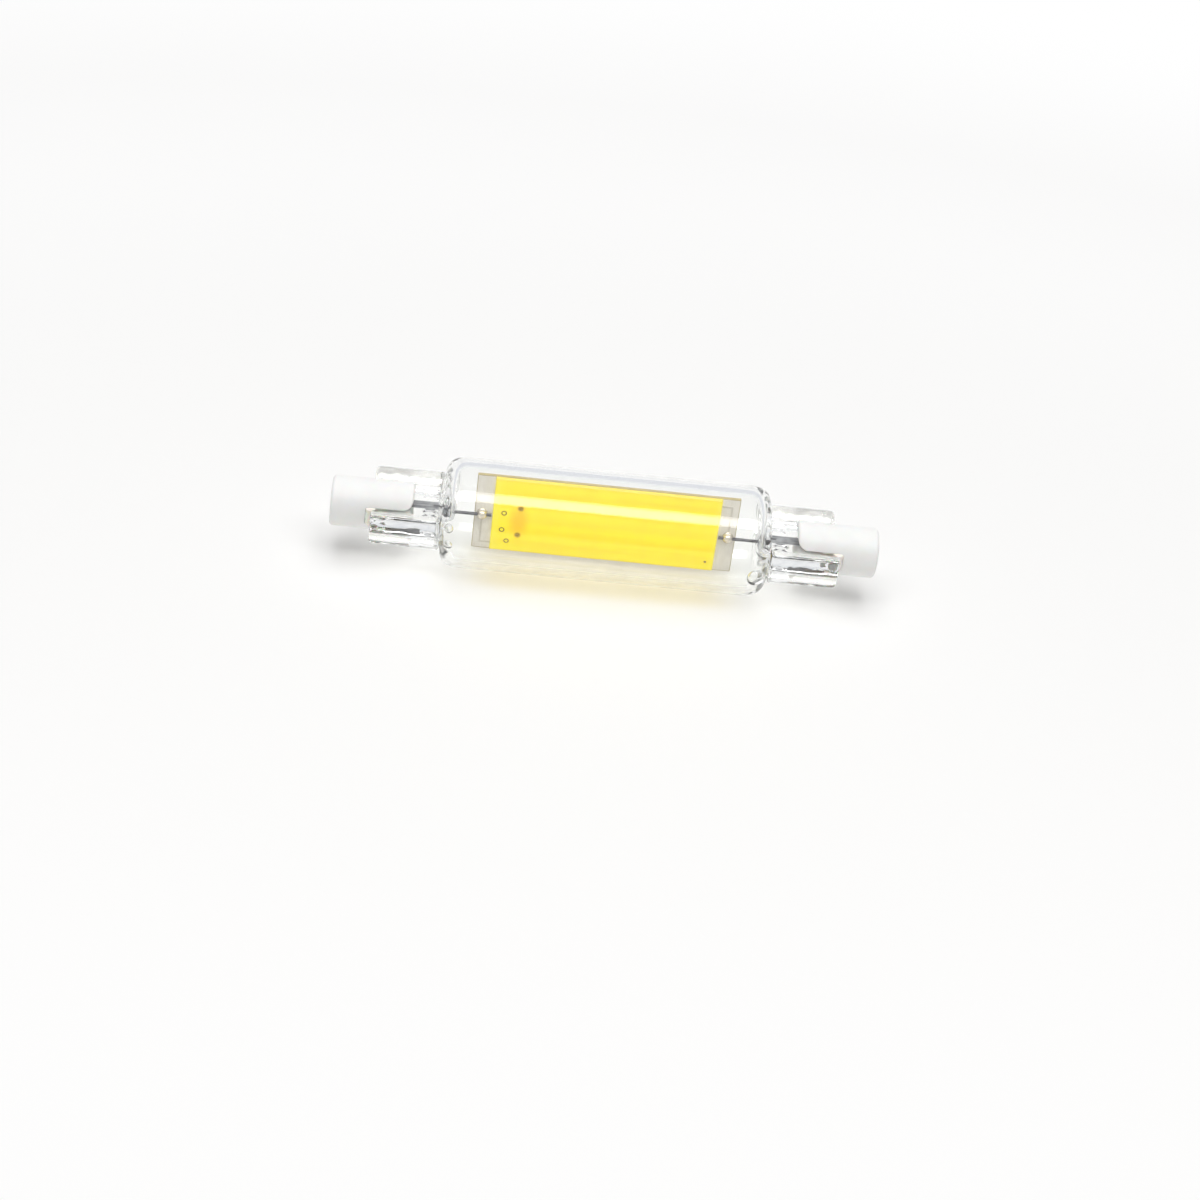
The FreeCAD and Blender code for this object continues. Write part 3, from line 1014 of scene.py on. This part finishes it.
# %% [markdown]
# ## Metal that stays as the solid model has it
# The foils, wires and printed tracks have the right shape already, so they only get finishes. Rolled foil
# and drawn wire have streaks along their length. An anisotropic shader could stand for them, but noise
# that is stretched along the bulb also gives the stains, and one builder serves all four.

# %% Rolled, drawn and printed metal
STREAK_STRETCH = (0.25, 6, 6)
STREAK_SCALE = 1.4
STREAK_SHARE = 0.6
STAIN_SCALE = 0.9
STAIN_SHARE = 0.4
STREAK_FADE = (0.3, 0.7)
STREAK_RELIEF = 0.006
# Name of the finish, how metallic it is, its dark and light streaks, and its roughness
METALS = {
    "seal_foil": ("rolled_foil", 0.35, (0.14, 0.145, 0.155, 1), (0.43, 0.435, 0.45, 1), (0.3, 0.55)),
    "outer_lead": ("drawn_outer_wire", 0.5, (0.36, 0.33, 0.29, 1), (0.64, 0.6, 0.54, 1), (0.35, 0.6)),
    "inner_lead": ("drawn_inner_wire", 0.6, (0.05, 0.05, 0.055, 1), (0.2, 0.2, 0.21, 1), (0.25, 0.5)),
    "track": ("printed_track", 0.3, (0.62, 0.58, 0.5, 1), (0.74, 0.7, 0.62, 1), (0.35, 0.6)),
}


def build_streaked(dark, light, roughness):
    """Builder for metal with streaks along the bulb."""

    def build(finish):
        vector, _ = finish.place()
        streaks = finish.noise(finish.stretch(vector, STREAK_STRETCH), STREAK_SCALE, FINE)
        stains = finish.noise(vector, STAIN_SCALE)
        share = streaks * STREAK_SHARE + stains * STAIN_SHARE
        return {
            "Base Color": finish.blend(share.fade(*STREAK_FADE), dark, light),
            "Roughness": streaks.between(*roughness),
            "Normal": finish.relief(streaks, STREAK_RELIEF),
        }

    return build


for piece, (name, metallic, dark, light, roughness) in METALS.items():
    metal = new_material(name, {"Metallic": metallic}, build_streaked(dark, light, roughness))
    for side in SIDES:
        dress(nodes[f"{side}_{piece}"], metal)

# %% [markdown]
# The contact buttons are turned on a lathe and plated. The tool leaves fine rings about the axis, and the
# spring of the holder rubs the middle dull. Both follow the distance from the bulb's axis, so that
# distance is all the finish needs: a sine of it makes the rings.

# %% Turned contacts
CONTACT_BRIGHT = (0.74, 0.72, 0.67, 1)
CONTACT_RUBBED = (0.62, 0.54, 0.4, 1)
CONTACT_RINGS = 40
RING_SHARE = 0.5
WEAR_SCALE = 1.5
WEAR_SHARE = 0.5
RUB_REACH = (1.4, 0.5)
RUB_SHARE = 0.5
RUB_FADE = (0.25, 0.8)
CONTACT_ROUGHNESS = (0.2, 0.4)
CONTACT_RELIEF = 0.006


def build_turned(finish):
    """Plated contact: fine rings about the bulb's axis and a duller, rubbed middle."""
    vector, (_, y, z) = finish.place()
    reach = (y * y + z * z) ** 0.5
    rings = (reach * CONTACT_RINGS).sine()
    wear = finish.noise(vector, WEAR_SCALE, FINE)
    rubbed = reach.fade(*RUB_REACH) * RUB_SHARE + wear * WEAR_SHARE
    return {
        "Base Color": finish.blend(rubbed.fade(*RUB_FADE), CONTACT_BRIGHT, CONTACT_RUBBED),
        "Roughness": wear.between(*CONTACT_ROUGHNESS),
        "Normal": finish.relief(rings * RING_SHARE + wear, CONTACT_RELIEF),
    }


contact = new_material("plated_contact", {"Metallic": 1.0}, build_turned)
for side in SIDES:
    dress(nodes[f"{side}_contact"], contact)

# %% [markdown]
# ## The board
# The board is a thin plate of translucent ceramic. Its faces are a greyed beige, and its cut edges look
# much darker, because light that enters the plate does not come back out there. True scattering in so
# thin a plate is slow and noisy, so the edges are coloured by their place, and some of the light passes
# straight through.

# %% Board finish
board_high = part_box("led_board")[1] / MM
EDGE_WIDTH = 0.06
BOARD_LIGHT = (0.86, 0.825, 0.755, 1)
BOARD_DARK = (0.76, 0.715, 0.635, 1)
BOARD_EDGE = (0.42, 0.33, 0.13, 1)
BOARD_GLEAM = (0.95, 0.9, 0.8, 1)
BOARD_THROUGH = 0.6
BOARD_CLOUDS = 0.5
BOARD_CLOUD_SHARE = 0.6
BOARD_GRAIN = 5.0
BOARD_GRAIN_SHARE = 0.4
BOARD_STRETCH = (1, 1, 0.15)
BOARD_FADE = (0.3, 0.75)
BOARD_ROUGHNESS = (0.35, 0.55)
BOARD_RELIEF = 0.008


def build_board(finish):
    """Beige ceramic with a drawn grain and dark cut edges."""
    vector, (x, _, z) = finish.place()
    clouds = finish.noise(vector, BOARD_CLOUDS, FINE)
    grain = finish.noise(finish.stretch(vector, BOARD_STRETCH), BOARD_GRAIN)
    shade = clouds * BOARD_CLOUD_SHARE + grain * BOARD_GRAIN_SHARE
    body = finish.blend(shade.fade(*BOARD_FADE), BOARD_LIGHT, BOARD_DARK)
    end_edge = x.abs().fade(board_high.x - 2 * EDGE_WIDTH, board_high.x - EDGE_WIDTH)
    long_edge = z.abs().fade(board_high.z - 2 * EDGE_WIDTH, board_high.z - EDGE_WIDTH)
    return {
        "Base Color": finish.blend(end_edge.max(long_edge), body, BOARD_EDGE),
        "Roughness": grain.between(*BOARD_ROUGHNESS),
        "Normal": finish.relief(grain, BOARD_RELIEF),
    }


board = new_material("translucent_ceramic", {"Specular IOR Level": 0.4}, build_board)
let_light_through(board, BOARD_GLEAM, BOARD_THROUGH)
dress(nodes["led_board"], board)

# %% [markdown]
# ## Phosphor coat
# The coat is yellow silicone, poured over the dies. Most dies only show as faint rows, but at one end the
# rectifier dies show as dark rings and the driver dies as brown blurs in an orange patch. They could be
# painted on a texture. Here each mark is a distance from a point on the coat, faded in and out, so it
# stays put and sharp from every side.

# %% Marks on the coat
ORANGE = (0.93, 0.52, 0.004, 1)
RING_BROWN = (0.07, 0.055, 0.008, 1)
DIE_BROWN = (0.2, 0.1, 0.006, 1)
# Places are along the coat from its left end and across it from its middle
ORANGE_PLACE = (3.8, -0.55)
ORANGE_SQUEEZE = 0.5
ORANGE_REACH = (2.0, 0.3)
ORANGE_SHARE = 0.75
DIE_PLACES = [(3.9, 1.6), (3.8, -2.9)]
DIE_REACH = (0.62, 0.2)
DIE_SHARE = 0.85
# Each ring's place and how strongly it shows
RINGS = [((2.6, 2.8), 0.35), ((1.6, 0.6), 0.9), ((1.5, -2.2), 0.9), ((2.3, -4.1), 0.9)]
RING_INNER = 0.28
RING_OUTER = 0.44
RING_SOFTNESS = 0.08
DOT_PLACE = (31.0, -4.4)
DOT_REACH = (0.28, 0.12)
DOT_SHARE = 0.9


def mark_coat(finish, along, across, colour):
    """Adds the dies that show through: brown blurs in an orange patch, dark rings and one dot."""

    def reach(place, squeeze=1.0):
        """Distance on the face from a place."""
        gap_along = along - place[0]
        gap_across = (across - place[1]) * squeeze
        return (gap_along * gap_along + gap_across * gap_across) ** 0.5

    patch = reach(ORANGE_PLACE, ORANGE_SQUEEZE).fade(*ORANGE_REACH)
    colour = finish.blend(patch * ORANGE_SHARE, colour, ORANGE)
    for place in DIE_PLACES:
        colour = finish.blend(reach(place).fade(*DIE_REACH) * DIE_SHARE, colour, DIE_BROWN)
    for place, share in RINGS:
        distance = reach(place)
        inside = distance.fade(RING_OUTER, RING_OUTER - RING_SOFTNESS)
        outside = distance.fade(RING_INNER - RING_SOFTNESS, RING_INNER)
        colour = finish.blend(inside * outside * share, colour, RING_BROWN)
    return finish.blend(reach(DOT_PLACE).fade(*DOT_REACH) * DOT_SHARE, colour, RING_BROWN)


print("marks on the coat:", len(DIE_PLACES), "blurs,", len(RINGS), "rings and a dot")

# %% Coat finish
coat_low, coat_high = (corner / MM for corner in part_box("phosphor_coat"))
YELLOW = (0.96, 0.81, 0.012, 1)
YELLOW_PALE = (0.92, 0.8, 0.05, 1)
YELLOW_DEEP = (0.93, 0.74, 0.01, 1)
# Painted shade: the long edges of the coat are darkened to olive
OLIVE_RIM_SHADE = (0.62, 0.5, 0.06, 1)
# Painted light: the coat glows in its own colour by this much, though the bulb is off
COAT_PAINTED_GLOW = 0.24
COAT_PLAIN = {"Specular IOR Level": 0.25, "Emission Strength": COAT_PAINTED_GLOW}
COAT_GLEAM = (1, 0.75, 0.2, 1)
COAT_THROUGH = 0.6
COAT_CLOUDS = 0.3
COAT_STRETCH = (0.06, 1, 2.2)
COAT_STREAKS = 0.9
COAT_GRAIN = 6.0
ROW_PITCH = 2.1
ROW_OFFSET = 0.25
ROW_SHARE = 0.06
DEEP_FADE = (0.36, 0.66)
LEFT_PALE = (1.6, 0.1)
RIGHT_PALE = (1.0, 0.1)
PALE_SHARE = 0.7
SHADED_RIM_WIDTH = 0.22
RIM_SHADE_SHARE = 0.85
COAT_ROUGHNESS = (0.38, 0.5)
COAT_RELIEF = 0.01


def build_coat(finish):
    """Yellow silicone with faint rows, pale ends, a painted olive shade along each long edge, the dies that
    show through and a painted glow.
    """
    vector, (x, _, z) = finish.place()
    along = x - coat_low.x
    clouds = finish.noise(vector, COAT_CLOUDS, FINE)
    streaks = finish.noise(finish.stretch(vector, COAT_STRETCH), COAT_STREAKS)
    grain = finish.noise(vector, COAT_GRAIN)
    rows = ((z / ROW_PITCH + ROW_OFFSET) * (2 * math.pi)).sine()
    deep = ((streaks + clouds) / 2 + rows * ROW_SHARE).fade(*DEEP_FADE)
    ends = along.fade(*LEFT_PALE).max((coat_high.x - x).fade(*RIGHT_PALE))
    # Painted shade along the long edges of the coat
    shaded_rims = z.abs().fade(coat_high.z - SHADED_RIM_WIDTH, coat_high.z - SHADED_RIM_WIDTH / 2)
    colour = finish.blend(deep, YELLOW, YELLOW_DEEP)
    colour = finish.blend(ends * PALE_SHARE, colour, YELLOW_PALE)
    colour = mark_coat(finish, along, z, colour)
    colour = finish.blend(shaded_rims * RIM_SHADE_SHARE, colour, OLIVE_RIM_SHADE)
    return {
        "Base Color": colour,
        # The painted glow takes the coat's own colour
        "Emission Color": colour,
        "Roughness": grain.between(*COAT_ROUGHNESS),
        "Normal": finish.relief(grain + clouds * 2, COAT_RELIEF),
    }


coat = new_material("phosphor_silicone", COAT_PLAIN, build_coat)
let_light_through(coat, COAT_GLEAM, COAT_THROUGH)
dress(nodes["phosphor_coat"], coat)

# %% [markdown]
# The dies lie under the coat, where nothing shows of them but the marks above. They still get a plain
# dark finish, so that the model is complete if the coat is lifted off.

# %% Die finish
SHEEN_SCALE = 2.0
DIE_ROUGHNESS = (0.2, 0.4)


def build_die(finish):
    """Dark chip with a cloudy sheen."""
    vector, _ = finish.place()
    sheen = finish.noise(vector, SHEEN_SCALE)
    return {
        "Base Color": finish.blend(sheen, DIE_BROWN, RING_BROWN),
        "Roughness": sheen.between(*DIE_ROUGHNESS),
    }


die = new_material("die", {}, build_die)
for name in ("led_dies", "rectifier_dies", "driver_dies"):
    dress(nodes[name], die)

# %% [markdown]
# ## Sizes
# Better pieces must not make the bulb larger than its solid model.
